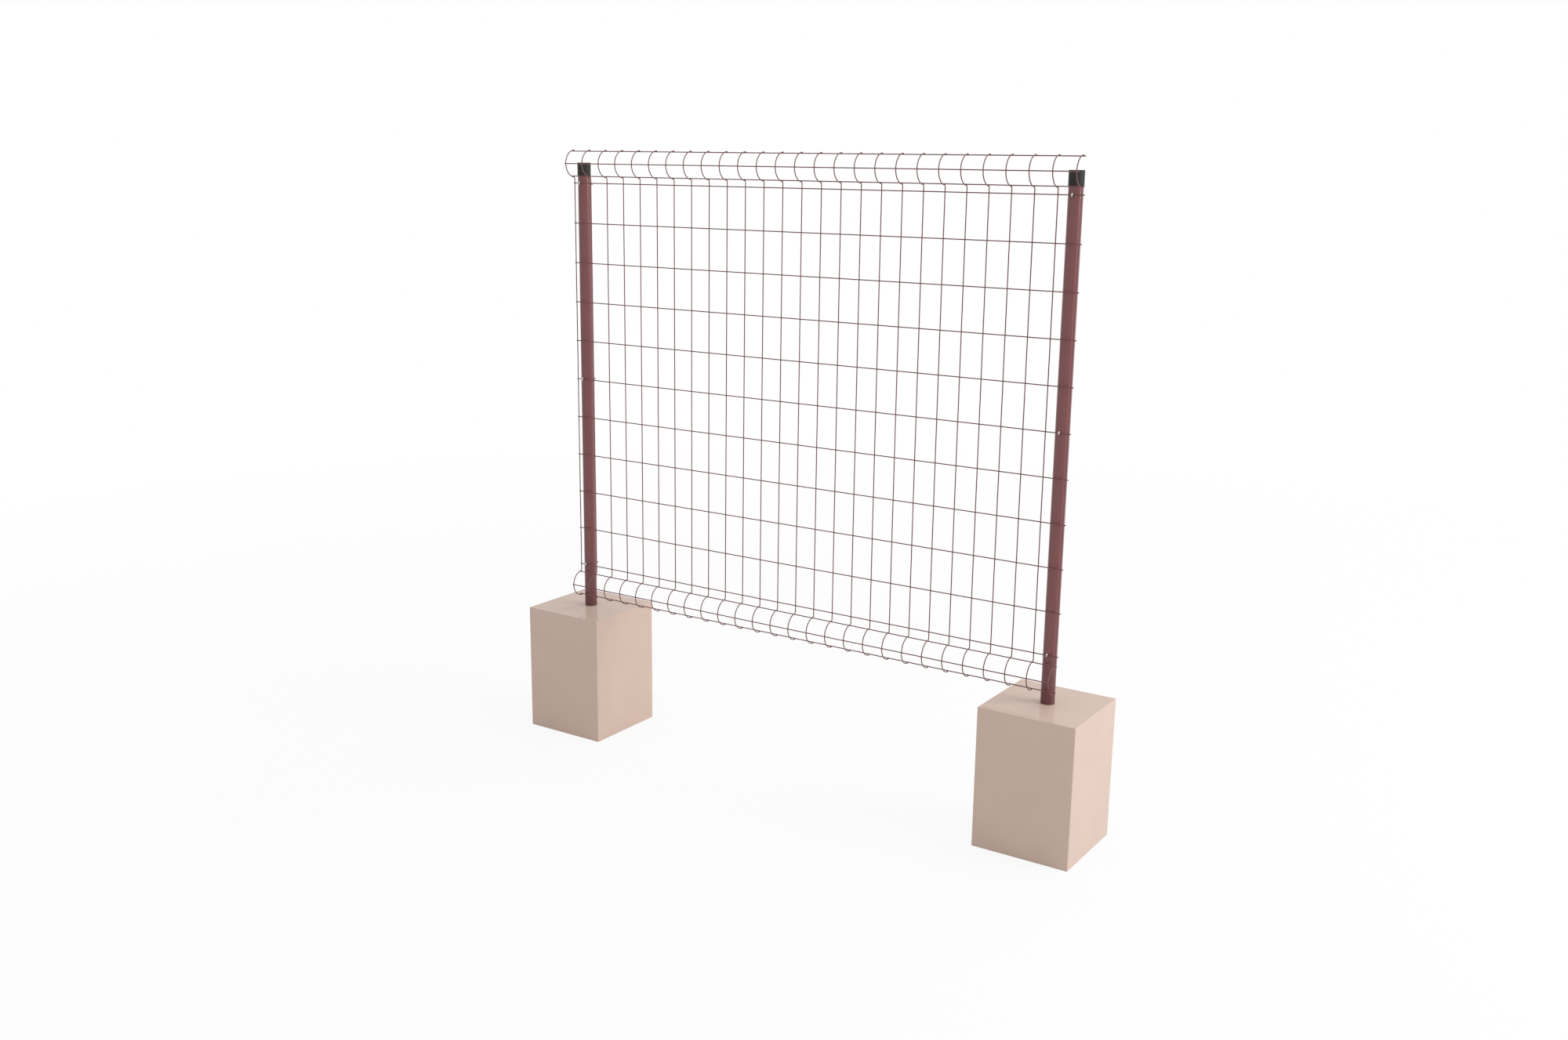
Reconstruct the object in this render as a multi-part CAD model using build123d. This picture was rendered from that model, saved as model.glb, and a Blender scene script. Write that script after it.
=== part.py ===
from build123d import *
import math
import os

# Fence bay: two round posts in concrete footings carry a welded wire panel with a rolled top and bottom.
# Millimetres. X runs along the fence, +Y away from the rolled side, +Z up.
# The origin is on the ground, midway between the two post axes.

# Footings
footing_width = 350.0
footing_depth = 350.0
footing_height = 500.0
footing_arris = 2.0

# Posts and their caps
post_diameter = 48.0
post_wall = 2.0
concrete_under_post = 100.0
socket_gap = 0.1
cap_above_line = 26.0
cap_height = 50.0
cap_wall = 1.0
cap_top = 2.5
cap_gap = 0.25
cap_edge_radius = 0.8

# Welded wire panel
wire_diameter = 3.7
weld_gap = 0.05
vertical_count = 27
vertical_pitch = 79.0
line_count = 11
line_pitch = 150.0
line_overhang = 8.0
left_post_inset = 21.5
right_post_inset = 32.5
panel_ground_gap = 45.0
panel_post_gap = 0.1
roll_radius = 50.0
roll_bend_radius = 5.0
roll_tip_overhang = 3.0
top_bend_rise = 17.0
bottom_bend_drop = 22.5

# Hook bolts, nuts and washers
hook_rod_diameter = 5.3
hook_wire_gap = 0.3
hook_tip_gap = 0.6
thread_diameter = 6.0
thread_inside_post = 7.0
thread_past_nut = 16.4
thread_chamfer = 0.8
bolt_hole_gap = 0.3
nut_across_flats = 10.0
nut_height = 5.0
nut_thread_gap = 0.1
nut_corner_chamfer = 0.4
washer_diameter = 14.0
washer_thickness = 1.6

# Sizes that follow from the ones above
post_radius = post_diameter / 2
wire_radius = wire_diameter / 2
hook_rod_radius = hook_rod_diameter / 2
bolt_hole_radius = thread_diameter / 2 + bolt_hole_gap
weld_pitch = wire_diameter + weld_gap

# The posts stand a little way in from the outermost vertical wires.
vertical_span = vertical_pitch * (vertical_count - 1)
post_spacing = vertical_span - left_post_inset - right_post_inset
post_x = {"left": -post_spacing / 2, "right": post_spacing / 2}
first_vertical_x = post_x["left"] - left_post_inset
vertical_x = [first_vertical_x + vertical_pitch * i for i in range(vertical_count)]
panel_middle_x = first_vertical_x + vertical_span / 2
line_length = vertical_span + 2 * line_overhang

# The line wires lie against the posts, and the vertical wires are welded to their front.
line_y = -(post_radius + panel_post_gap + wire_radius)
vertical_y = line_y - weld_pitch

# A vertical wire turns forward through a small bend that runs tangent into the roll.
bend_to_roll_centre = math.sqrt(roll_radius**2 + 2 * roll_radius * roll_bend_radius)
bend_end_angle = math.asin(roll_bend_radius / (roll_radius + roll_bend_radius))

bottom_roll_z = footing_height + panel_ground_gap + wire_radius + roll_radius
bottom_bend_z = bottom_roll_z + bend_to_roll_centre
bottom_line_z = bottom_bend_z + bottom_bend_drop
line_z = [bottom_line_z + line_pitch * (line_count - 1 - row) for row in range(line_count)]
top_bend_z = line_z[0] + top_bend_rise
top_roll_z = top_bend_z + bend_to_roll_centre

cap_top_z = line_z[0] + cap_above_line + cap_height
post_top_z = cap_top_z - cap_top
post_length = post_top_z - concrete_under_post
socket_depth = footing_height - concrete_under_post

# The rod of a hook bolt passes under its line wire and curls up round the front of it.
hooked_lines = {"top": 0, "middle": line_count // 2, "bottom": line_count - 1}
hook_bend_radius = wire_radius + hook_wire_gap + hook_rod_radius
bolt_z = {name: line_z[row] - hook_bend_radius for name, row in hooked_lines.items()}
hook_tip_y = -(post_radius + hook_tip_gap)
thread_start_y = post_radius - thread_inside_post
nut_seat_y = post_radius + washer_thickness
nut_end_y = nut_seat_y + nut_height
bolt_end_y = nut_end_y + thread_past_nut


def along_x(radius, length):
    return Rot(0, 90, 0) * Cylinder(radius, length)


def along_y(radius, start, end):
    """A round bar on the Y axis, from start to end."""
    return Pos(0, (start + end) / 2, 0) * Rot(90, 0, 0) * Cylinder(radius, end - start)


def in_side_plane(path):
    """Turn a path drawn as (depth, height) into the YZ plane."""
    return Plane.YZ * path


def rod_along(path, radius):
    return sweep(Plane(path @ 0, z_dir=path % 0) * Circle(radius), path)


def footing():
    block = Pos(0, 0, footing_height / 2) * Box(footing_width, footing_depth, footing_height)
    block = chamfer(block.edges(), footing_arris)
    socket = Cylinder(post_radius + socket_gap, socket_depth)
    return block - Pos(0, 0, footing_height - socket_depth / 2) * socket


def post():
    tube = Cylinder(post_radius, post_length) - Cylinder(post_radius - post_wall, post_length)
    tube = Pos(0, 0, concrete_under_post + post_length / 2) * tube
    for height in bolt_z.values():
        tube -= Pos(0, 0, height) * along_y(bolt_hole_radius, -post_diameter, post_diameter)
    return tube


def post_cap():
    bore_radius = post_radius + cap_gap
    skirt_height = cap_height - cap_top
    body = Pos(0, 0, cap_top_z - cap_height / 2) * Cylinder(bore_radius + cap_wall, cap_height)
    body = fillet(body.edges().group_by(Axis.Z)[-1], cap_edge_radius)
    return body - Pos(0, 0, post_top_z - skirt_height / 2) * Cylinder(bore_radius, skirt_height)


def roll_point(centre_z, upward, angle, radius):
    """A point on a roll's circle. The angle runs from the bend, round the front, to the tip."""
    depth = vertical_y - radius * math.sin(angle)
    height = centre_z - upward * radius * math.cos(angle)
    return depth, height


def roll_path(centre_z, bend_z, upward):
    """The bend and the half circle at one end of a vertical wire, as two arcs from the bend outwards."""
    bend_end = roll_point(centre_z, upward, bend_end_angle, roll_radius)
    bend_turn = math.pi / 2 - bend_end_angle
    bend_middle = (
        vertical_y - roll_bend_radius * (1 - math.cos(bend_turn / 2)),
        bend_z + upward * roll_bend_radius * math.sin(bend_turn / 2),
    )
    roll_middle = roll_point(centre_z, upward, (bend_end_angle + math.pi) / 2, roll_radius)
    tip = roll_point(centre_z, upward, math.pi, roll_radius)
    bend = ThreePointArc((vertical_y, bend_z), bend_middle, bend_end)
    roll = ThreePointArc(bend_end, roll_middle, tip)
    return bend, roll


def vertical_wire():
    bottom_bend, bottom_roll = roll_path(bottom_roll_z, bottom_bend_z, -1)
    top_bend, top_roll = roll_path(top_roll_z, top_bend_z, 1)
    straight = Line((vertical_y, bottom_bend_z), (vertical_y, top_bend_z))
    path = Wire([bottom_roll, bottom_bend, straight, top_bend, top_roll])
    return rod_along(in_side_plane(path), wire_radius)


def line_wire(depth, height):
    return Pos(panel_middle_x, depth, height) * along_x(wire_radius, line_length)


def roll_wires(centre_z, upward):
    """Three wires inside a roll: where the bend ends, at the front and just short of the tip."""
    inner_radius = roll_radius - weld_pitch
    tip_angle = math.pi - roll_tip_overhang / roll_radius
    angles = [bend_end_angle, math.pi / 2, tip_angle]
    return [line_wire(*roll_point(centre_z, upward, angle, inner_radius)) for angle in angles]


def hook_bolt():
    """A hook bolt on the Y axis, with the hooked wire one bend radius above it."""
    rod_end = (thread_start_y, 0)
    bend_start = (line_y, 0)
    bend_middle = (line_y - hook_bend_radius, hook_bend_radius)
    bend_end = (line_y, 2 * hook_bend_radius)
    tip = (hook_tip_y, 2 * hook_bend_radius)
    shank = Line(rod_end, bend_start)
    bend = ThreePointArc(bend_start, bend_middle, bend_end)
    point = Line(bend_end, tip)
    rod = rod_along(in_side_plane(Wire([shank, bend, point])), hook_rod_radius)
    thread = along_y(thread_diameter / 2, thread_start_y, bolt_end_y)
    thread = chamfer(thread.edges().group_by(Axis.Y)[-1], thread_chamfer)
    return rod + thread


def nut():
    hexagon = RegularPolygon(nut_across_flats / 2, 6, major_radius=False)
    blank = Pos(0, nut_seat_y, 0) * Rot(-90, 0, 0) * extrude(hexagon, nut_height)
    blank = chamfer(blank.edges().group_by(Axis.Y)[-1], nut_corner_chamfer)
    bore_radius = thread_diameter / 2 + nut_thread_gap
    return blank - along_y(bore_radius, nut_seat_y, nut_end_y)


def washer():
    disc = along_y(washer_diameter / 2, post_radius, nut_seat_y)
    return disc - along_y(bolt_hole_radius, post_radius, nut_seat_y)


def save(node, *solids):
    """Write one node: a single solid, or a group of separate solids."""
    shape = solids[0] if len(solids) == 1 else Compound(children=list(solids))
    shape.label = node
    export_step(shape, os.path.join("parts", node + ".step"))


os.makedirs("parts", exist_ok=True)
washers = []
for side, x in post_x.items():
    save(f"{side}_footing", Pos(x, 0, 0) * footing())
    save(f"{side}_post", Pos(x, 0, 0) * post())
    save(f"{side}_post_cap", Pos(x, 0, 0) * post_cap())
    for name, height in bolt_z.items():
        save(f"{side}_{name}_hook_bolt", Pos(x, 0, height) * hook_bolt())
        save(f"{side}_{name}_nut", Pos(x, 0, height) * nut())
        washers.append(Pos(x, 0, height) * washer())
save("post_washers", *washers)

upright = vertical_wire()
for number, x in enumerate(vertical_x, start=1):
    save(f"vertical_wire_{number:02d}", Pos(x, 0, 0) * upright)
for number, height in enumerate(line_z, start=1):
    save(f"line_wire_{number:02d}", line_wire(line_y, height))
save("top_roll_wires", *roll_wires(top_roll_z, 1))
save("bottom_roll_wires", *roll_wires(bottom_roll_z, -1))

print(f"line wires at z {line_z[-1]:.2f} to {line_z[0]:.2f}, rolls at z {bottom_roll_z:.2f} and {top_roll_z:.2f}")
print(f"post {post_length:.1f} long, cap top at z {cap_top_z:.2f}, vertical wires at y {vertical_y:.2f}")
path_length = 2 * (roll_radius * (math.pi - bend_end_angle) + roll_bend_radius * (math.pi / 2 - bend_end_angle))
path_length += top_bend_z - bottom_bend_z
print(f"vertical wire volume {upright.volume:.1f}, section times length {math.pi * wire_radius**2 * path_length:.1f}")
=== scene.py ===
# %% [markdown]
# # One bay of a solar farm fence
# The bay has two round posts in square concrete footings. A welded wire panel, rolled forward at its top
# and bottom edge, hangs on the posts by six hook bolts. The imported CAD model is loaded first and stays
# where it is. Each new piece is then modelled at the same place, takes over from its CAD node and moves
# with the same body.

# %% Load the frame
import math

import bmesh
import bpy
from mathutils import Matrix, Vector


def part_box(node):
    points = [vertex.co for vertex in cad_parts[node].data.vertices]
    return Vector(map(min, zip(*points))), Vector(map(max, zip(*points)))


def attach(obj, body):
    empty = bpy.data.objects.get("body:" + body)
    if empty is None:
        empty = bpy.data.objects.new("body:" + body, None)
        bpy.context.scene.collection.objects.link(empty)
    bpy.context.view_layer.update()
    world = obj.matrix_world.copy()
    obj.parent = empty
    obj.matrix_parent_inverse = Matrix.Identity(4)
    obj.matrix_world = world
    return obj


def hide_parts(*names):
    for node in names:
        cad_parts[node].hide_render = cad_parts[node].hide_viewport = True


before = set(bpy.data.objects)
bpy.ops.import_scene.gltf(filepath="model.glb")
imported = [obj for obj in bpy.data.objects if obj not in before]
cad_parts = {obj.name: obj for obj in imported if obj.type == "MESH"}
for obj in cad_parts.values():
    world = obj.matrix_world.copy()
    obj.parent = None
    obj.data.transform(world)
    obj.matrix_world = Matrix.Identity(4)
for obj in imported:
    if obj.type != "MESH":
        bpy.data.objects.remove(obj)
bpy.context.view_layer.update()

# %% [markdown]
# ## The camera
# The camera comes first, because every later step is judged through it. The place and the turn were worked
# out from the photo's straight wires, with a lens of 35 mm on a 36 mm sensor. The picture leans by less
# than a degree, so the turn has a small middle value too.

# %% Camera
camera_place = (2.90600, -4.56232, 2.26078)
camera_turn = (76.7943, -0.7573, 33.2894)

bpy.ops.object.camera_add(location=camera_place, rotation=[math.radians(angle) for angle in camera_turn])
camera = bpy.context.object
camera.name = "photo_camera"
camera.data.sensor_width = 36.0
camera.data.lens = 35.0
bpy.context.scene.camera = camera
bpy.context.scene.view_settings.view_transform = "Standard"
print("camera at", [round(c, 3) for c in camera.location])

# %% [markdown]
# ## Studio light
# The right sides of the footings are the brightest, then their tops, and the fronts are darkest. One large
# soft lamp stands far to the right, a little behind the fence. It is near enough for the right footing to
# catch more of it than the left one. A weaker lamp behind the fence gives the second, shorter shadow at the
# foot of each post, and an even pale world fills the rest.

# %% Soft lamps
fence_middle = Vector((0.0, 0.0, 1.0))


def soft_lamp(name, place, width, watts):
    """A round lamp that faces the fence."""
    bpy.ops.object.light_add(type="AREA", location=place)
    lamp = bpy.context.object
    lamp.name = name
    lamp.data.shape = "DISK"
    lamp.data.size = width
    lamp.data.energy = watts
    aim = fence_middle - lamp.location
    lamp.rotation_euler = aim.to_track_quat("-Z", "Y").to_euler()
    print(name, round(aim.length, 2), "m from the fence")


soft_lamp("key_lamp", place=(8.00, 2.00, 4.50), width=5.5, watts=400.0)
soft_lamp("back_lamp", place=(1.60, 7.00, 6.50), width=4.0, watts=110.0)

# %% [markdown]
# ## Building blocks for nodes
# The world, the floor and every finish are trees of nodes. By hand they are wired up in the shader editor.
# In a script the same few moves come back again and again: add a node, link two sockets, combine two
# values, mix two shaders. Each gets a short helper.

# %% Node helpers
def add_node(finish, kind, **choices):
    """A new node in a finish, with its menu choices made."""
    node = finish.node_tree.nodes.new(kind)
    for menu, choice in choices.items():
        setattr(node, menu, choice)
    return node


def link(finish, source, target):
    finish.node_tree.links.new(source, target)


def combine(finish, operation, first, second):
    """One value from two others, such as their sum, product or maximum."""
    node = add_node(finish, "ShaderNodeMath", operation=operation)
    link(finish, first, node.inputs[0])
    link(finish, second, node.inputs[1])
    return node.outputs["Value"]


def mix_shaders(finish, share, first, second, output):
    """Send the first shader to the output, or the second where its share is 1."""
    node = add_node(finish, "ShaderNodeMixShader")
    link(finish, share, node.inputs["Fac"])
    link(finish, first, node.inputs[1])
    link(finish, second, node.inputs[2])
    link(finish, node.outputs["Shader"], finish.node_tree.nodes[output].inputs["Surface"])


print("node helpers ready")

# %% [markdown]
# ## A white studio
# The photo's background is plain white, but a world that bright would wash out the object. The Light Path
# node tells a ray that reaches the camera, straight or by a reflection, from one that lights a surface. The
# first kind sees white, and the second kind a dimmer grey that sets the level of the light.

# %% World
fill_level = 0.79
white = (1.0, 1.0, 1.0, 1.0)


def seen_ray(finish):
    """1 for a ray from the camera, a reflection or clear glass, and 0 for a ray that lights a surface."""
    path = add_node(finish, "ShaderNodeLightPath")
    ray = path.outputs["Is Camera Ray"]
    for other in ("Is Glossy Ray", "Is Transmission Ray"):
        ray = combine(finish, "MAXIMUM", ray, path.outputs[other])
    return ray


world = bpy.data.worlds.new("white_studio")
bpy.context.scene.world = world
world.use_nodes = True
fill = world.node_tree.nodes["Background"]
backdrop = add_node(world, "ShaderNodeBackground")
for background, level in ((fill, fill_level), (backdrop, 1.0)):
    background.inputs["Color"].default_value = white
    background.inputs["Strength"].default_value = level
mix_shaders(
    world, seen_ray(world), fill.outputs["Background"], backdrop.outputs["Background"], "World Output"
)
print("world fill", fill_level)

# %% [markdown]
# ## The floor
# A wide pale floor bounces light up onto the pieces. To the camera it is mostly plain white with a little
# of the real surface mixed in, so that the footings still stand on a faint shadow. The real surface fades
# out a few metres away, and the floor runs into the white of the world with no line between them.

# %% Floor plane
floor_width = 60.0

bpy.ops.object.select_all(action="DESELECT")
bpy.ops.mesh.primitive_plane_add(size=floor_width)
floor = bpy.context.object
floor.name = "studio_floor"
print("floor", floor.dimensions.x, "m wide")

# %% Floor finish
floor_tone = (0.81, 0.81, 0.81, 1.0)
floor_roughness = 0.9
shadow_share = 0.12
fade_distance = (2.0, 7.0)


def start_finish(name):
    """A new material, its shader and the coordinates of the piece."""
    finish = bpy.data.materials.new(name)
    finish.use_nodes = True
    shader = finish.node_tree.nodes["Principled BSDF"]
    place = add_node(finish, "ShaderNodeTexCoord").outputs["Object"]
    return finish, shader, place


def map_range(finish, value, old=(0.0, 1.0), new=(0.0, 1.0)):
    """The value moved from its old range to a new one, and held at both ends."""
    node = add_node(finish, "ShaderNodeMapRange")
    node.inputs["From Min"].default_value, node.inputs["From Max"].default_value = old
    node.inputs["To Min"].default_value, node.inputs["To Max"].default_value = new
    link(finish, value, node.inputs["Value"])
    return node.outputs["Result"]


pale, matt, place = start_finish("pale_floor")
matt.inputs["Base Color"].default_value = floor_tone
matt.inputs["Roughness"].default_value = floor_roughness
matt.inputs["Specular IOR Level"].default_value = 0.0
glow = add_node(pale, "ShaderNodeEmission")
glow.inputs["Color"].default_value = white
glow.inputs["Strength"].default_value = 1.0
away = add_node(pale, "ShaderNodeVectorMath", operation="LENGTH")
link(pale, place, away.inputs[0])
plain_white = map_range(pale, away.outputs["Value"], old=fade_distance, new=(1.0 - shadow_share, 1.0))
glow_share = combine(pale, "MULTIPLY", seen_ray(pale), plain_white)
mix_shaders(pale, glow_share, matt.outputs["BSDF"], glow.outputs["Emission"], "Material Output")
floor.data.materials.append(pale)
print("finish", pale.name, "with", len(pale.node_tree.nodes), "nodes")

# %% [markdown]
# ## Patterns in a finish
# A finish reads Object coordinates, which are metres here, so a pattern is given in spots to the metre and
# keeps its real scale on every piece. Noise makes the spots, a mix of two tones turns them into colour, and
# a bump node turns them into relief. Noise seldom leaves the middle of its range, so it is stretched from
# there.

# %% Pattern helpers
noise_middle = (0.3, 0.7)


def noise(finish, place, per_metre, detail):
    """Cloudy noise from 0 to 1, with so many spots to the metre."""
    node = add_node(finish, "ShaderNodeTexNoise")
    node.inputs["Scale"].default_value = per_metre
    node.inputs["Detail"].default_value = detail
    link(finish, place, node.inputs["Vector"])
    return node.outputs["Fac"]


def two_tone(finish, value, first, second):
    """A colour between two others. Each is a plain colour or the output of another node."""
    node = add_node(finish, "ShaderNodeMix", data_type="RGBA")
    link(finish, value, node.inputs[0])
    for socket, colour in ((node.inputs[6], first), (node.inputs[7], second)):
        if isinstance(colour, tuple):
            socket.default_value = (*colour, 1.0)
        else:
            link(finish, colour, socket)
    return node.outputs[2]


def relief(finish, shader, height, depth):
    """Bump the surface by a height from 0 to 1, so many metres deep."""
    node = add_node(finish, "ShaderNodeBump")
    node.inputs["Strength"].default_value = 1.0
    node.inputs["Distance"].default_value = depth
    link(finish, height, node.inputs["Height"])
    link(finish, node.outputs["Normal"], shader.inputs["Normal"])


print("pattern helpers ready")

# %% [markdown]
# ## Sealed concrete
# The footings are cast in smooth moulds and sealed, so their tops mirror the posts faintly. The colour is a
# warm pinkish grey with a slow cloudiness, a fine sandy speckle, and a few small air holes left by the
# mould. The holes are painted darker, as painted shade inside them, and dented by a shallow bump. An image
# of concrete would stretch or repeat, so the same things are made with noise and cells.

# %% Concrete
cloud_tones = ((0.585, 0.448, 0.378), (0.612, 0.468, 0.396))
sand_tone = (0.545, 0.415, 0.347)
concrete_roughness = (0.06, 0.09)

concrete, shader, place = start_finish("sealed_concrete")
cloud = map_range(concrete, noise(concrete, place, per_metre=7.0, detail=5.0), old=noise_middle)
cloudy_tone = two_tone(concrete, cloud, *cloud_tones)
sand = map_range(concrete, noise(concrete, place, per_metre=800.0, detail=3.0), old=(0.30, 0.45))
sandy_tone = two_tone(concrete, sand, sand_tone, cloudy_tone)
link(concrete, map_range(concrete, cloud, new=concrete_roughness), shader.inputs["Roughness"])
shader.inputs["IOR"].default_value = 1.20
print("finish", concrete.name, "without its holes has", len(concrete.node_tree.nodes), "nodes")

# %% Air holes in the concrete
cells_per_metre = 45.0
hole_edge = (0.030, 0.060)
holed_cells = (0.90, 0.91)
hole_shade_tone = (0.36, 0.26, 0.215)
hole_depth = 0.0006

cells = add_node(concrete, "ShaderNodeTexVoronoi")
cells.inputs["Scale"].default_value = cells_per_metre
link(concrete, place, cells.inputs["Vector"])
hole = map_range(concrete, cells.outputs["Distance"], old=hole_edge, new=(1.0, 0.0))
cell_draw = add_node(concrete, "ShaderNodeSeparateColor")
link(concrete, cells.outputs["Color"], cell_draw.inputs["Color"])
few = map_range(concrete, cell_draw.outputs["Red"], old=holed_cells)
air_hole = combine(concrete, "MULTIPLY", hole, few)
# The air holes take a darker tone, as painted shade inside them.
link(concrete, two_tone(concrete, air_hole, sandy_tone, hole_shade_tone), shader.inputs["Base Color"])
relief(concrete, shader, map_range(concrete, air_hole, new=(1.0, 0.0)), hole_depth)
print("finish", concrete.name, "with", len(concrete.node_tree.nodes), "nodes")

# %% [markdown]
# ## Brown powder coat
# Posts and wires carry a red-brown powder coat, which is a shade darker on the thin wires. Baked powder is
# a little uneven: a slow drift in tone, a few paler flecks, and the fine dimples that painters call orange
# peel. The first two are noise in the colour, and the dimples are fast noise in the bump. One function
# makes both shades.

# %% Powder coat
coat_roughness = (0.20, 0.25)
peel_depth = 0.00002


def powder_coat(name, dark, light, fleck_tone):
    coat, shader, place = start_finish(name)
    drift = map_range(coat, noise(coat, place, per_metre=12.0, detail=3.0), old=noise_middle)
    fleck = map_range(coat, noise(coat, place, per_metre=2500.0, detail=1.0), old=(0.60, 0.75))
    tone = two_tone(coat, fleck, two_tone(coat, drift, dark, light), fleck_tone)
    link(coat, tone, shader.inputs["Base Color"])
    link(coat, map_range(coat, drift, new=coat_roughness), shader.inputs["Roughness"])
    relief(coat, shader, noise(coat, place, per_metre=900.0, detail=1.0), peel_depth)
    print("finish", coat.name, "with", len(coat.node_tree.nodes), "nodes")
    return coat


post_coat = powder_coat(
    "brown_post_coat",
    dark=(0.178, 0.055, 0.055),
    light=(0.192, 0.061, 0.060),
    fleck_tone=(0.205, 0.072, 0.070),
)
wire_coat = powder_coat(
    "brown_wire_coat",
    dark=(0.152, 0.047, 0.047),
    light=(0.164, 0.052, 0.051),
    fleck_tone=(0.176, 0.061, 0.060),
)

# %% [markdown]
# ## Painted shade at the post foot
# The lowest part of each post's coat is painted darker, as painted shade for the dimmer light
# close to the footing, and it is a little rougher there as well. The painted shade thins out over
# two hand widths. A post sits at the origin with its place in its mesh, so the Z of its Object
# coordinates is the height above the ground, and slow noise breaks the painted shade into patches.

# %% Painted shade at the post foot
shade_reach = 0.20
painted_shade_tone = (0.112, 0.040, 0.043)
foot_dulling = 0.12
patch_strength = (0.8, 1.0)
footing_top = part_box("left_footing")[1].z
shade_heights = (footing_top, footing_top + shade_reach)

shader = post_coat.node_tree.nodes["Principled BSDF"]
place = post_coat.node_tree.nodes["Texture Coordinate"].outputs["Object"]
unshaded_tone = shader.inputs["Base Color"].links[0].from_socket
plain_roughness = shader.inputs["Roughness"].links[0].from_socket
split = add_node(post_coat, "ShaderNodeSeparateXYZ")
link(post_coat, place, split.inputs["Vector"])
# Painted shade: the coat is painted darker towards the top of the footing, in patches.
near_footing = map_range(post_coat, split.outputs["Z"], old=shade_heights, new=(1.0, 0.0))
blotches = noise(post_coat, place, per_metre=45.0, detail=4.0)
patches = map_range(post_coat, blotches, old=noise_middle, new=patch_strength)
painted_shade = combine(post_coat, "MULTIPLY", near_footing, patches)
dulling = map_range(post_coat, painted_shade, new=(0.0, foot_dulling))
link(post_coat, two_tone(post_coat, painted_shade, unshaded_tone, painted_shade_tone), shader.inputs["Base Color"])
link(post_coat, combine(post_coat, "ADD", plain_roughness, dulling), shader.inputs["Roughness"])
print("dirt from", [round(height, 3) for height in shade_heights], "m up")

# %% [markdown]
# ## Moulded cap plastic
# The caps are charcoal plastic from a spark-eroded mould, which leaves a fine even grain. The grain is bump
# only, with a slight change of tone and gloss from spot to spot.

# %% Cap plastic
haze_tones = ((0.0320, 0.0290, 0.0280), (0.0360, 0.0325, 0.0315))
plastic_roughness = (0.48, 0.56)
grain_depth = 0.00003

plastic, shader, place = start_finish("charcoal_plastic")
haze = map_range(plastic, noise(plastic, place, per_metre=40.0, detail=3.0), old=noise_middle)
link(plastic, two_tone(plastic, haze, *haze_tones), shader.inputs["Base Color"])
link(plastic, map_range(plastic, haze, new=plastic_roughness), shader.inputs["Roughness"])
shader.inputs["IOR"].default_value = 1.25
relief(plastic, shader, noise(plastic, place, per_metre=1800.0, detail=2.0), grain_depth)
print("finish", plastic.name, "with", len(plastic.node_tree.nodes), "nodes")

# %% [markdown]
# ## Zinc plate
# Hook bolts, nuts and washers are electroplated. The zinc is a light silver grey, with a soft sheen and
# faint cloudy stains. It is a full metal, so its colour is the colour of its reflection.

# %% Zinc
stain_tones = ((0.46, 0.455, 0.445), (0.56, 0.55, 0.535))
zinc_roughness = (0.34, 0.22)
crystal_depth = 0.00001

zinc, shader, place = start_finish("zinc_plate")
stain = map_range(zinc, noise(zinc, place, per_metre=260.0, detail=4.0), old=(0.35, 0.65))
link(zinc, two_tone(zinc, stain, *stain_tones), shader.inputs["Base Color"])
link(zinc, map_range(zinc, stain, new=zinc_roughness), shader.inputs["Roughness"])
shader.inputs["Metallic"].default_value = 1.0
relief(zinc, shader, noise(zinc, place, per_metre=3000.0, detail=2.0), crystal_depth)
print("finish", zinc.name, "with", len(zinc.node_tree.nodes), "nodes")

# %% [markdown]
# ## Helpers for modelling
# Operators act on whatever is selected, as they do by hand. So each step first holds one piece alone, then
# opens it in edit mode. A finished piece is settled: its place goes from the object into the mesh, as in
# the CAD nodes.

# %% Hold, add and settle a piece
def hold(*pieces):
    """Select these pieces and nothing else. The last one is the active piece."""
    bpy.ops.object.select_all(action="DESELECT")
    for piece in pieces:
        piece.select_set(True)
        bpy.context.view_layer.objects.active = piece


def settle(piece, name):
    """Name a piece and put its place, turn and size into its mesh."""
    hold(piece)
    bpy.ops.object.transform_apply(location=True, rotation=True, scale=True)
    piece.name = piece.data.name = name
    return piece


def add_piece(primitive, name, stretch=(1.0, 1.0, 1.0), **shape):
    """Add a primitive with nothing else selected, stretch it and settle it."""
    bpy.ops.object.select_all(action="DESELECT")
    primitive(**shape)
    piece = bpy.context.object
    piece.scale = stretch
    return settle(piece, name)


print("pieces can be added")

# %% Open, close and cut a mesh
merge_distance = 1e-6


def open_mesh(piece):
    hold(piece)
    bpy.ops.object.mode_set(mode="EDIT")
    bpy.ops.mesh.select_all(action="SELECT")


def close_mesh():
    """Merge doubles, turn all faces outwards and leave edit mode."""
    bpy.ops.mesh.select_all(action="SELECT")
    bpy.ops.mesh.remove_doubles(threshold=merge_distance)
    bpy.ops.mesh.normals_make_consistent(inside=False)
    bpy.ops.object.mode_set(mode="OBJECT")


def apply_all(piece):
    hold(piece)
    for modifier in list(piece.modifiers):
        bpy.ops.object.modifier_apply(modifier=modifier.name)


def cut(piece, tool, operation="DIFFERENCE"):
    """Cut one piece by another, which is used up."""
    boolean = piece.modifiers.new("cut", "BOOLEAN")
    boolean.operation = operation
    boolean.solver = "EXACT"
    boolean.object = tool
    apply_all(piece)
    bpy.data.objects.remove(tool)


print("meshes can be cut")

# %% Hand a piece over
def hand_over(piece, finish, slot, body, *nodes):
    """Give a finished piece its finish, hide the CAD nodes it stands for and attach it to the body it moves
    with.
    """
    piece.data.materials.clear()
    piece.data.materials.append(finish)
    if nodes:
        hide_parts(*nodes)
    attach(piece, body)


def triangles(piece):
    piece.data.calc_loop_triangles()
    return len(piece.data.loop_triangles)


print("pieces can be handed over")

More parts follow.
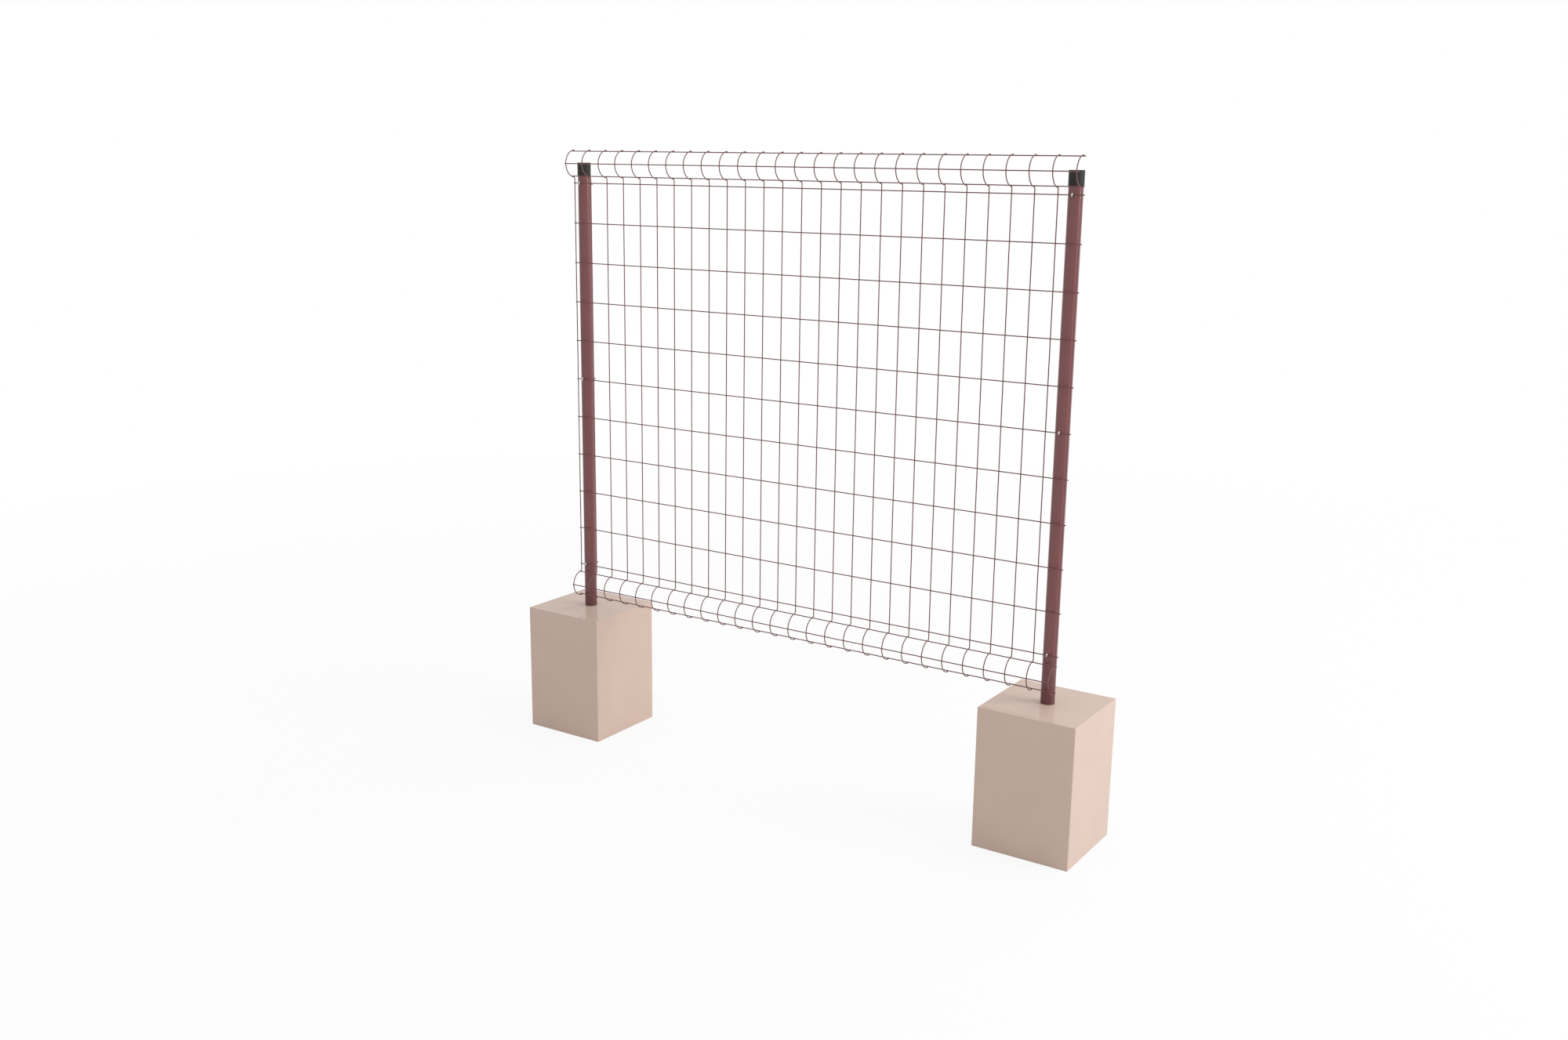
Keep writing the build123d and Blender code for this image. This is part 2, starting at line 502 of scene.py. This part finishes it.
# %% [markdown]
# ## Concrete footings
# Each footing is a square block with a round socket that the post is cast into. The mould leaves its edges
# very slightly rounded. A cube is stretched to the block, its edges are bevelled, and a round bar that
# reaches a little above the block cuts the socket.

# %% Footings
sides = ("left", "right")
footing_arris = 0.0018
socket_radius = 0.0241
overcut = 0.02
post_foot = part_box("left_post")[0].z

for side in sides:
    low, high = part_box(f"{side}_footing")
    middle = (low + high) / 2
    block = add_piece(
        bpy.ops.mesh.primitive_cube_add,
        f"{side}_footing_block",
        stretch=high - low,
        size=1.0,
        location=middle,
    )
    open_mesh(block)
    bpy.ops.mesh.bevel(offset=footing_arris, segments=3, affect="EDGES")
    close_mesh()
    socket_bar = add_piece(
        bpy.ops.mesh.primitive_cylinder_add,
        "socket_bar",
        vertices=64,
        radius=socket_radius,
        depth=high.z - post_foot + overcut,
        location=(middle.x, middle.y, (high.z + post_foot + overcut) / 2),
    )
    cut(block, socket_bar)
    hand_over(block, concrete, "concrete", "fence", f"{side}_footing")
    print(block.name, triangles(block), "triangles")

# %% [markdown]
# ## Posts
# A post is a steel tube with three holes drilled through both walls for the hook bolts. Drilling a long
# smooth tube leaves long thin faces that shade badly. So the tube is extruded from a circle in steps, with
# a ring close above and below each hole, and only the short band between them is cut.

# %% Extrude, smooth and drill
along_y = (math.radians(90), 0.0, 0.0)
bolt_hole_radius = 0.0033
drill_length = 0.08


def extrude(x=0.0, y=0.0, z=0.0):
    bpy.ops.mesh.extrude_region_move(TRANSFORM_OT_translate={"value": (x, y, z)})


def smooth(piece, degrees):
    hold(piece)
    bpy.ops.object.shade_smooth_by_angle(angle=math.radians(degrees))


def drill(tube, x, z):
    bit = add_piece(
        bpy.ops.mesh.primitive_cylinder_add,
        "drill_bit",
        vertices=32,
        radius=bolt_hole_radius,
        depth=drill_length,
        location=(x, 0.0, z),
        rotation=along_y,
    )
    cut(tube, bit)


print("tubes can be drilled")

# %% Posts
post_wall = 0.002
hole_band = 0.008
thread_radius = 0.003
bolt_names = ("top", "middle", "bottom")
bolt_z = {name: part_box(f"left_{name}_hook_bolt")[0].z + thread_radius for name in bolt_names}


def drilled_tube(side):
    low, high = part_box(f"{side}_post")
    axis_x = (low.x + high.x) / 2
    tube = add_piece(
        bpy.ops.mesh.primitive_circle_add,
        f"{side}_post_tube",
        vertices=64,
        radius=(high.x - low.x) / 2,
        location=(axis_x, 0.0, low.z),
    )
    rings = sorted(z + step for z in bolt_z.values() for step in (-hole_band, hole_band))
    open_mesh(tube)
    reached = low.z
    for level in rings + [high.z]:
        extrude(z=level - reached)
        reached = level
    close_mesh()
    wall = tube.modifiers.new("wall", "SOLIDIFY")
    wall.thickness = post_wall
    wall.offset = -1.0
    wall.use_even_offset = True
    apply_all(tube)
    for z in bolt_z.values():
        drill(tube, axis_x, z)
    smooth(tube, degrees=30)
    return tube


for side in sides:
    tube = drilled_tube(side)
    hand_over(tube, post_coat, "post_paint", "fence", f"{side}_post")
    print(tube.name, triangles(tube), "triangles")

# %% [markdown]
# ## Post caps
# A cap is a plastic cup pushed over the top of the post. A cylinder gives the outside, its lower face is
# inset and pushed up to hollow it, and the top and bottom edges get the small rounding that a mould needs.
# Edges and faces are chosen by where they are.

# %% Choose edges or faces
def choose(kind, test):
    """In edit mode, select the edges or faces whose corners all pass the test."""
    bpy.ops.mesh.select_mode(type=kind)
    bpy.ops.mesh.select_all(action="DESELECT")
    mesh = bmesh.from_edit_mesh(bpy.context.object.data)
    for element in {"EDGE": mesh.edges, "FACE": mesh.faces}[kind]:
        if all(test(corner.co) for corner in element.verts):
            element.select_set(True)
    mesh.select_flush_mode()
    bmesh.update_edit_mesh(bpy.context.object.data)


print("edges and faces can be chosen")

# %% Post caps
cap_wall = 0.001
cap_top = 0.0025
cap_rounding = 0.0008
rim_easing = 0.0002
tolerance = 1e-5

for side in sides:
    low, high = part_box(f"{side}_post_cap")
    cap = add_piece(
        bpy.ops.mesh.primitive_cylinder_add,
        f"{side}_post_cap_moulding",
        vertices=64,
        radius=(high.x - low.x) / 2,
        depth=high.z - low.z,
        location=(low + high) / 2,
    )
    open_mesh(cap)
    choose("FACE", lambda corner: corner.z < low.z + tolerance)
    bpy.ops.mesh.inset(thickness=cap_wall)
    extrude(z=high.z - low.z - cap_top)
    choose("EDGE", lambda corner: corner.z > high.z - tolerance)
    bpy.ops.mesh.bevel(offset=cap_rounding, segments=4, affect="EDGES")
    choose("EDGE", lambda corner: corner.z < low.z + tolerance)
    bpy.ops.mesh.bevel(offset=rim_easing, segments=1, affect="EDGES")
    close_mesh()
    smooth(cap, degrees=15)
    hand_over(cap, plastic, "cap_plastic", f"{side}_cap", f"{side}_post_cap")
    print(cap.name, triangles(cap), "triangles")

# %% [markdown]
# ## Upright wires
# Each upright is one drawn wire, bent forward at both ends and rolled into a half circle. A curve with a
# round bevel could make it, but bending it as the mill does shows each step: a ring of vertices is spun
# round the roll, spun back through the small bend, pulled straight up, and bent and rolled again. Spin
# turns against the usual sense of its axis, so a positive angle about X goes from below, round the front.

# %% Sizes of the wires
wire_radius = 0.00185
roll_radius = 0.050
bend_radius = 0.005
wire_nodes = sorted(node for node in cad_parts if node.startswith("vertical_wire_"))
low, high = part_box(wire_nodes[0])
first_x = (low.x + high.x) / 2
wire_y = high.y - wire_radius
bottom_roll_z = low.z + wire_radius + roll_radius
top_roll_z = high.z - wire_radius - roll_radius
bend_end_angle = math.asin(bend_radius / (roll_radius + bend_radius))
bend_to_roll = math.sqrt(roll_radius**2 + 2 * roll_radius * bend_radius)
print("rolls at", round(bottom_roll_z, 4), "and", round(top_roll_z, 4), "m")

# %% One upright wire
wire_sides = 16
wire_end_easing = 0.0003
roll_turn = {"angle": math.pi - bend_end_angle, "steps": 28}
bend_turn = {"angle": bend_end_angle - math.pi / 2, "steps": 6}


def spin(y, z, angle, steps):
    bpy.ops.mesh.spin(steps=steps, angle=angle, center=(0.0, y, z), axis=(1.0, 0.0, 0.0))


def ease_ends(width):
    """Close both ends of a rod and take the sharp edge off them."""
    bpy.ops.mesh.select_all(action="SELECT")
    bpy.ops.mesh.fill_holes(sides=0)
    bpy.ops.mesh.select_mode(type="FACE")
    bpy.ops.mesh.select_face_by_sides(number=4, type="GREATER", extend=False)
    bpy.ops.mesh.bevel(offset=width, segments=1, affect="EDGES")


upright = add_piece(
    bpy.ops.mesh.primitive_circle_add,
    "upright_wire_01",
    vertices=wire_sides,
    radius=wire_radius,
    location=(first_x, wire_y, bottom_roll_z - roll_radius),
    rotation=along_y,
)
open_mesh(upright)
spin(wire_y, bottom_roll_z, **roll_turn)
spin(wire_y - bend_radius, bottom_roll_z + bend_to_roll, **bend_turn)
extrude(z=top_roll_z - bottom_roll_z - 2 * bend_to_roll)
spin(wire_y - bend_radius, top_roll_z - bend_to_roll, **bend_turn)
spin(wire_y, top_roll_z, **roll_turn)
ease_ends(wire_end_easing)
close_mesh()
smooth(upright, degrees=40)
reach = [max(v.co.z for v in upright.data.vertices), min(v.co.y for v in upright.data.vertices)]
print("upright reaches", [round(c, 4) for c in reach], "CAD", round(high.z, 4), round(low.y, 4))

# %% All uprights
def copy_by(piece, name, step):
    """A copy with a mesh of its own, moved by a step."""
    hold(piece)
    bpy.ops.object.duplicate()
    twin = bpy.context.object
    twin.location = step
    return settle(twin, name)


for number, node in enumerate(wire_nodes, start=1):
    low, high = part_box(node)
    wire = upright
    if number > 1:
        step = ((low.x + high.x) / 2 - first_x, 0.0, 0.0)
        wire = copy_by(upright, f"upright_wire_{number:02d}", step)
    hand_over(wire, wire_coat, "wire_paint", "fence", node)
print(len(wire_nodes), "uprights of", triangles(upright), "triangles")

# %% [markdown]
# ## Level wires
# Eleven straight wires lie behind the uprights, and three more run inside each roll: where the bend ends,
# at the front and close to the tip. Each is a long thin cylinder with its cut ends eased. The three wires
# of a roll share one CAD node, so they are joined into one piece.

# %% Level wires
along_x = (0.0, math.radians(90), 0.0)
line_nodes = sorted(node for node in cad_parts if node.startswith("line_wire_"))
line_middles = []


def straight_wire(name, middle, length):
    wire = add_piece(
        bpy.ops.mesh.primitive_cylinder_add,
        name,
        vertices=wire_sides,
        radius=wire_radius,
        depth=length,
        location=middle,
        rotation=along_x,
    )
    open_mesh(wire)
    ease_ends(wire_end_easing)
    close_mesh()
    smooth(wire, degrees=40)
    return wire


for number, node in enumerate(line_nodes, start=1):
    low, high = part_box(node)
    line_middles.append((low + high) / 2)
    wire = straight_wire(f"level_wire_{number:02d}", line_middles[-1], high.x - low.x)
    hand_over(wire, wire_coat, "wire_paint", "fence", node)
print(len(line_nodes), "level wires of", triangles(wire), "triangles")

# %% Roll wires
weld_pitch = 0.00375
tip_overhang = 0.003
roll_angles = (bend_end_angle, math.pi / 2, math.pi - tip_overhang / roll_radius)
rolls = {"top": (top_roll_z, 1), "bottom": (bottom_roll_z, -1)}


def roll_point(centre_z, upward, angle, radius):
    """Depth and height on a roll. The angle runs from the bend, round the front, to the tip."""
    return wire_y - radius * math.sin(angle), centre_z - upward * radius * math.cos(angle)


for edge, (centre_z, upward) in rolls.items():
    low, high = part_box(f"{edge}_roll_wires")
    trio = []
    for angle in roll_angles:
        depth, height = roll_point(centre_z, upward, angle, roll_radius - weld_pitch)
        trio.append(straight_wire("roll_wire", ((low.x + high.x) / 2, depth, height), high.x - low.x))
    hold(*trio)
    bpy.ops.object.join()
    wires = settle(bpy.context.object, f"{edge}_roll_wire_set")
    hand_over(wires, wire_coat, "wire_paint", "fence", f"{edge}_roll_wires")
    print(wires.name, triangles(wires), "triangles")

# %% [markdown]
# ## Weld beads
# At every crossing the two wires are welded by a short burst of current, which squeezes a little metal out
# into the corners. There are 459 of these, so each is only a flattened cube with its edges bevelled once.
# Array modifiers repeat one bead along a row and down the panel, and a turned copy of the row goes on each
# roll wire.

# %% One row of beads
bead_half = 0.0021
bead_depth = 0.0016
bead_rounding = 0.0006
upright_pitch = (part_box(wire_nodes[-1])[0].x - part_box(wire_nodes[0])[0].x) / (len(wire_nodes) - 1)


def repeat(piece, count, step):
    row = piece.modifiers.new("row", "ARRAY")
    row.count = count
    row.use_relative_offset = False
    row.use_constant_offset = True
    row.constant_offset_displace = step
    apply_all(piece)


bead = add_piece(
    bpy.ops.mesh.primitive_cube_add,
    "bead_row",
    stretch=(bead_half, bead_depth / 2, bead_half),
    size=2.0,
)
open_mesh(bead)
bpy.ops.mesh.bevel(offset=bead_rounding, segments=1, affect="EDGES")
close_mesh()
smooth(bead, degrees=60)
repeat(bead, len(wire_nodes), (upright_pitch, 0.0, 0.0))
print("a row of beads has", triangles(bead), "triangles")

# %% All weld beads
line_pitch = line_middles[0].z - line_middles[1].z
roll_rows = []

for centre_z, upward in rolls.values():
    for angle in roll_angles:
        depth, height = roll_point(centre_z, upward, angle, roll_radius - weld_pitch / 2)
        hold(bead)
        bpy.ops.object.duplicate()
        row = bpy.context.object
        row.rotation_euler.x = upward * (math.pi / 2 - angle)
        row.location = (first_x, depth, height)
        roll_rows.append(settle(row, "roll_beads"))
repeat(bead, len(line_nodes), (0.0, 0.0, -line_pitch))
bead.location = (first_x, (wire_y + line_middles[0].y) / 2, line_middles[0].z)
hold(*roll_rows, bead)
bpy.ops.object.join()
beads = settle(bpy.context.object, "weld_beads")
hand_over(beads, wire_coat, "wire_paint", "fence")
print("weld beads", triangles(beads), "triangles")

# %% [markdown]
# ## Hook bolts
# A hook bolt is a bright rod that passes through the post under a level wire and curls up round the front
# of it. The rod is a ring of vertices, extruded from the tip, spun half a turn and extruded back. Its other
# end has a rolled thread of 6 mm with a pitch of 1 mm, made by the Screw modifier from the outline of one
# ridge.

# %% Rod of the hook
rod_radius = 0.00265
hook_tip_y = -0.0246
hook_tip_easing = 0.0004
thread_start_y = 0.017
rod_in_thread = 0.0005
hook_bend_radius = line_middles[0].z - bolt_z["top"]
hook_line_y = line_middles[0].y
low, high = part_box("left_top_hook_bolt")
hook_x = (low.x + high.x) / 2
bolt_end_y = high.y

hook = add_piece(
    bpy.ops.mesh.primitive_circle_add,
    "left_top_hook",
    vertices=24,
    radius=rod_radius,
    location=(hook_x, hook_tip_y, bolt_z["top"] + 2 * hook_bend_radius),
    rotation=along_y,
)
open_mesh(hook)
extrude(y=hook_line_y - hook_tip_y)
spin(hook_line_y, line_middles[0].z, angle=-math.pi, steps=18)
extrude(y=thread_start_y + rod_in_thread - hook_line_y)
ease_ends(hook_tip_easing)
close_mesh()
smooth(hook, degrees=40)
print("rod", triangles(hook), "triangles, lowest at", round(min(v.co.z for v in hook.data.vertices), 5))

# %% Ridge and helix of the thread
thread_pitch = 0.001
thread_root_radius = 0.00246
thread_length = bolt_end_y - thread_start_y
thread_depth = thread_radius - thread_root_radius
crest_share = 0.18
spare_turns = 4

thread = add_piece(
    bpy.ops.mesh.primitive_plane_add,
    "hook_thread",
    stretch=(thread_depth / thread_pitch, 1.0, 1.0),
    size=thread_pitch,
    location=((thread_radius + thread_root_radius) / 2, 0.0, 0.0),
)
open_mesh(thread)
choose("EDGE", lambda corner: corner.x > thread_radius - tolerance)
bpy.ops.transform.resize(value=(1.0, crest_share, 1.0))
choose("EDGE", lambda corner: corner.x < thread_root_radius + tolerance)
bpy.ops.mesh.delete(type="EDGE")
bpy.ops.object.mode_set(mode="OBJECT")
helix = thread.modifiers.new("helix", "SCREW")
helix.axis = "Y"
helix.screw_offset = thread_pitch
helix.iterations = round(thread_length / thread_pitch) + spare_turns
helix.steps = helix.render_steps = 20
helix.use_merge_vertices = True
helix.merge_threshold = merge_distance
apply_all(thread)
print("helix", triangles(thread), "triangles")

# %% [markdown]
# ## Trimming the thread
# Bisect saws the helix square at both ends and closes it. Its threshold is far below a thread's own size,
# because the usual tenth of a millimetre would pull whole vertices onto the plane, and the planes lie where
# they meet no vertex. A turned bar with a chamfered end then trims the thread to length, and the rod takes
# it up.

# %% Saw the thread off
plane_threshold = 1e-7
first_cut_pitches = 1.523


def saw_off(y, **cleared):
    """Saw an open mesh square at y, close it there and clear one side."""
    bpy.ops.mesh.select_all(action="SELECT")
    bpy.ops.mesh.bisect(
        plane_co=(0.0, y, 0.0),
        plane_no=(0.0, 1.0, 0.0),
        threshold=plane_threshold,
        use_fill=True,
        **cleared,
    )


first_cut = min(v.co.y for v in thread.data.vertices) + first_cut_pitches * thread_pitch
last_cut = first_cut + thread_length + thread_pitch
open_mesh(thread)
bpy.ops.mesh.remove_doubles(threshold=merge_distance)
saw_off(first_cut, clear_inner=True)
saw_off(last_cut, clear_outer=True)
close_mesh()
print("thread sawn to", round((last_cut - first_cut) * 1000, 2), "mm")

# %% Turn the end of the thread
thread_chamfer = 0.0008
turning_margin = 0.0001
bar_start = first_cut + thread_pitch / 2
bar_end = bar_start + thread_length

bar = add_piece(
    bpy.ops.mesh.primitive_cylinder_add,
    "turned_bar",
    vertices=48,
    radius=thread_radius + turning_margin,
    depth=thread_length,
    location=(0.0, (bar_start + bar_end) / 2, 0.0),
    rotation=along_y,
)
open_mesh(bar)
choose("EDGE", lambda corner: corner.y > bar_end - tolerance)
bpy.ops.mesh.bevel(offset=thread_chamfer + turning_margin, segments=1, affect="EDGES")
close_mesh()
cut(thread, bar, "INTERSECT")
thread.location = (hook_x, thread_start_y - bar_start, bolt_z["top"])
settle(thread, "hook_thread")
print("thread", triangles(thread), "triangles to", round(max(v.co.y for v in thread.data.vertices), 5))

# %% All hook bolts
bolts = [(side, name) for side in sides for name in bolt_names]


def put_at_bolts(first, piece_kind, node_kind, body_kind):
    """Copy the piece of the left top bolt to the other bolts, and hand all of them over."""
    first_node = f"left_top_{node_kind}"
    for side, name in bolts:
        node = f"{side}_{name}_{node_kind}"
        piece = first
        if node != first_node:
            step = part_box(node)[0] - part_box(first_node)[0]
            piece = copy_by(first, f"{side}_{name}_{piece_kind}", step)
        hand_over(piece, zinc, "zinc", f"{side}_{name}_{body_kind}", node)
    print(len(bolts), "of", piece_kind, "with", triangles(first), "triangles")


cut(hook, thread, "UNION")
smooth(hook, degrees=40)
put_at_bolts(hook, "hook", "hook_bolt", "hook")

# %% [markdown]
# ## Nuts
# Behind the post a hexagon nut draws each hook tight. A six-sided cylinder is the blank, turned so that two
# corners point along the fence. A turned disc with sloping ends, kept where the two overlap, gives the
# curved chamfers on the corners, and a bar cuts the bore.

# %% Blank of the nut
nut_low, nut_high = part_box("left_top_nut")
nut_height = nut_high.y - nut_low.y
nut_corner_radius = (nut_high.x - nut_low.x) / 2
half_corner = math.radians(30)
at_origin = (0.0, 0.0, 0.0)

nut = add_piece(
    bpy.ops.mesh.primitive_cylinder_add,
    "left_top_hexagon_nut",
    vertices=6,
    radius=nut_corner_radius,
    depth=nut_height,
    rotation=along_y,
)
open_mesh(nut)
bpy.ops.transform.rotate(value=half_corner, orient_axis="Y", center_override=at_origin)
close_mesh()
print("blank", round(nut_corner_radius * 2000, 2), "mm across its corners")

# %% Chamfers and bore of the nut
nut_face_radius = 0.0048
nut_slope = 0.00055
nut_bore_radius = 0.0031
widening = (nut_corner_radius + turning_margin) / nut_face_radius

disc = add_piece(
    bpy.ops.mesh.primitive_circle_add,
    "turned_disc",
    vertices=64,
    radius=nut_face_radius,
    fill_type="NGON",
    location=(0.0, -nut_height / 2, 0.0),
    rotation=along_y,
)
open_mesh(disc)
for step, factor in ((nut_slope, widening), (nut_height - 2 * nut_slope, 1.0), (nut_slope, 1 / widening)):
    extrude(y=step)
    bpy.ops.transform.resize(value=(factor, 1.0, factor), center_override=at_origin)
close_mesh()
cut(nut, disc, "INTERSECT")
bore_bar = add_piece(
    bpy.ops.mesh.primitive_cylinder_add,
    "bore_bar",
    vertices=32,
    radius=nut_bore_radius,
    depth=2 * nut_height,
    rotation=along_y,
)
cut(nut, bore_bar)
smooth(nut, degrees=20)
nut.location = (nut_low + nut_high) / 2
settle(nut, "left_top_hexagon_nut")
put_at_bolts(nut, "hexagon_nut", "nut", "nut")

# %% [markdown]
# ## Washers
# A stamped flat washer spreads the nut's load on the round post. A short cylinder has both faces inset to
# the size of the hole, and bridging the two inner faces opens the hole. Stamping rounds the outer edge a
# little. The six washers share one CAD node, so they are joined into one piece.

# %% One washer
washer_radius = 0.007
stamped_rounding = 0.00025
washer_low, washer_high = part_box("post_washers")


def on_outer_edge(corner):
    return math.hypot(corner.x - hook_x, corner.z - bolt_z["top"]) > washer_radius - tolerance


washer = add_piece(
    bpy.ops.mesh.primitive_cylinder_add,
    "washer",
    vertices=48,
    radius=washer_radius,
    depth=washer_high.y - washer_low.y,
    location=(hook_x, (washer_low.y + washer_high.y) / 2, bolt_z["top"]),
    rotation=along_y,
)
open_mesh(washer)
bpy.ops.mesh.select_mode(type="FACE")
bpy.ops.mesh.select_face_by_sides(number=4, type="GREATER", extend=False)
bpy.ops.mesh.inset(thickness=washer_radius - bolt_hole_radius)
bpy.ops.mesh.bridge_edge_loops()
choose("EDGE", on_outer_edge)
bpy.ops.mesh.bevel(offset=stamped_rounding, segments=2, affect="EDGES")
close_mesh()
smooth(washer, degrees=30)
print("washer", triangles(washer), "triangles")

# %% All washers
other_washers = [
    copy_by(washer, "washer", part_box(f"{side}_{name}_nut")[0] - nut_low)
    for side, name in bolts
    if (side, name) != ("left", "top")
]
hold(*other_washers, washer)
bpy.ops.object.join()
washers = settle(bpy.context.object, "post_washer_set")
hand_over(washers, zinc, "zinc", "fence", "post_washers")
print("washers", triangles(washers), "triangles")
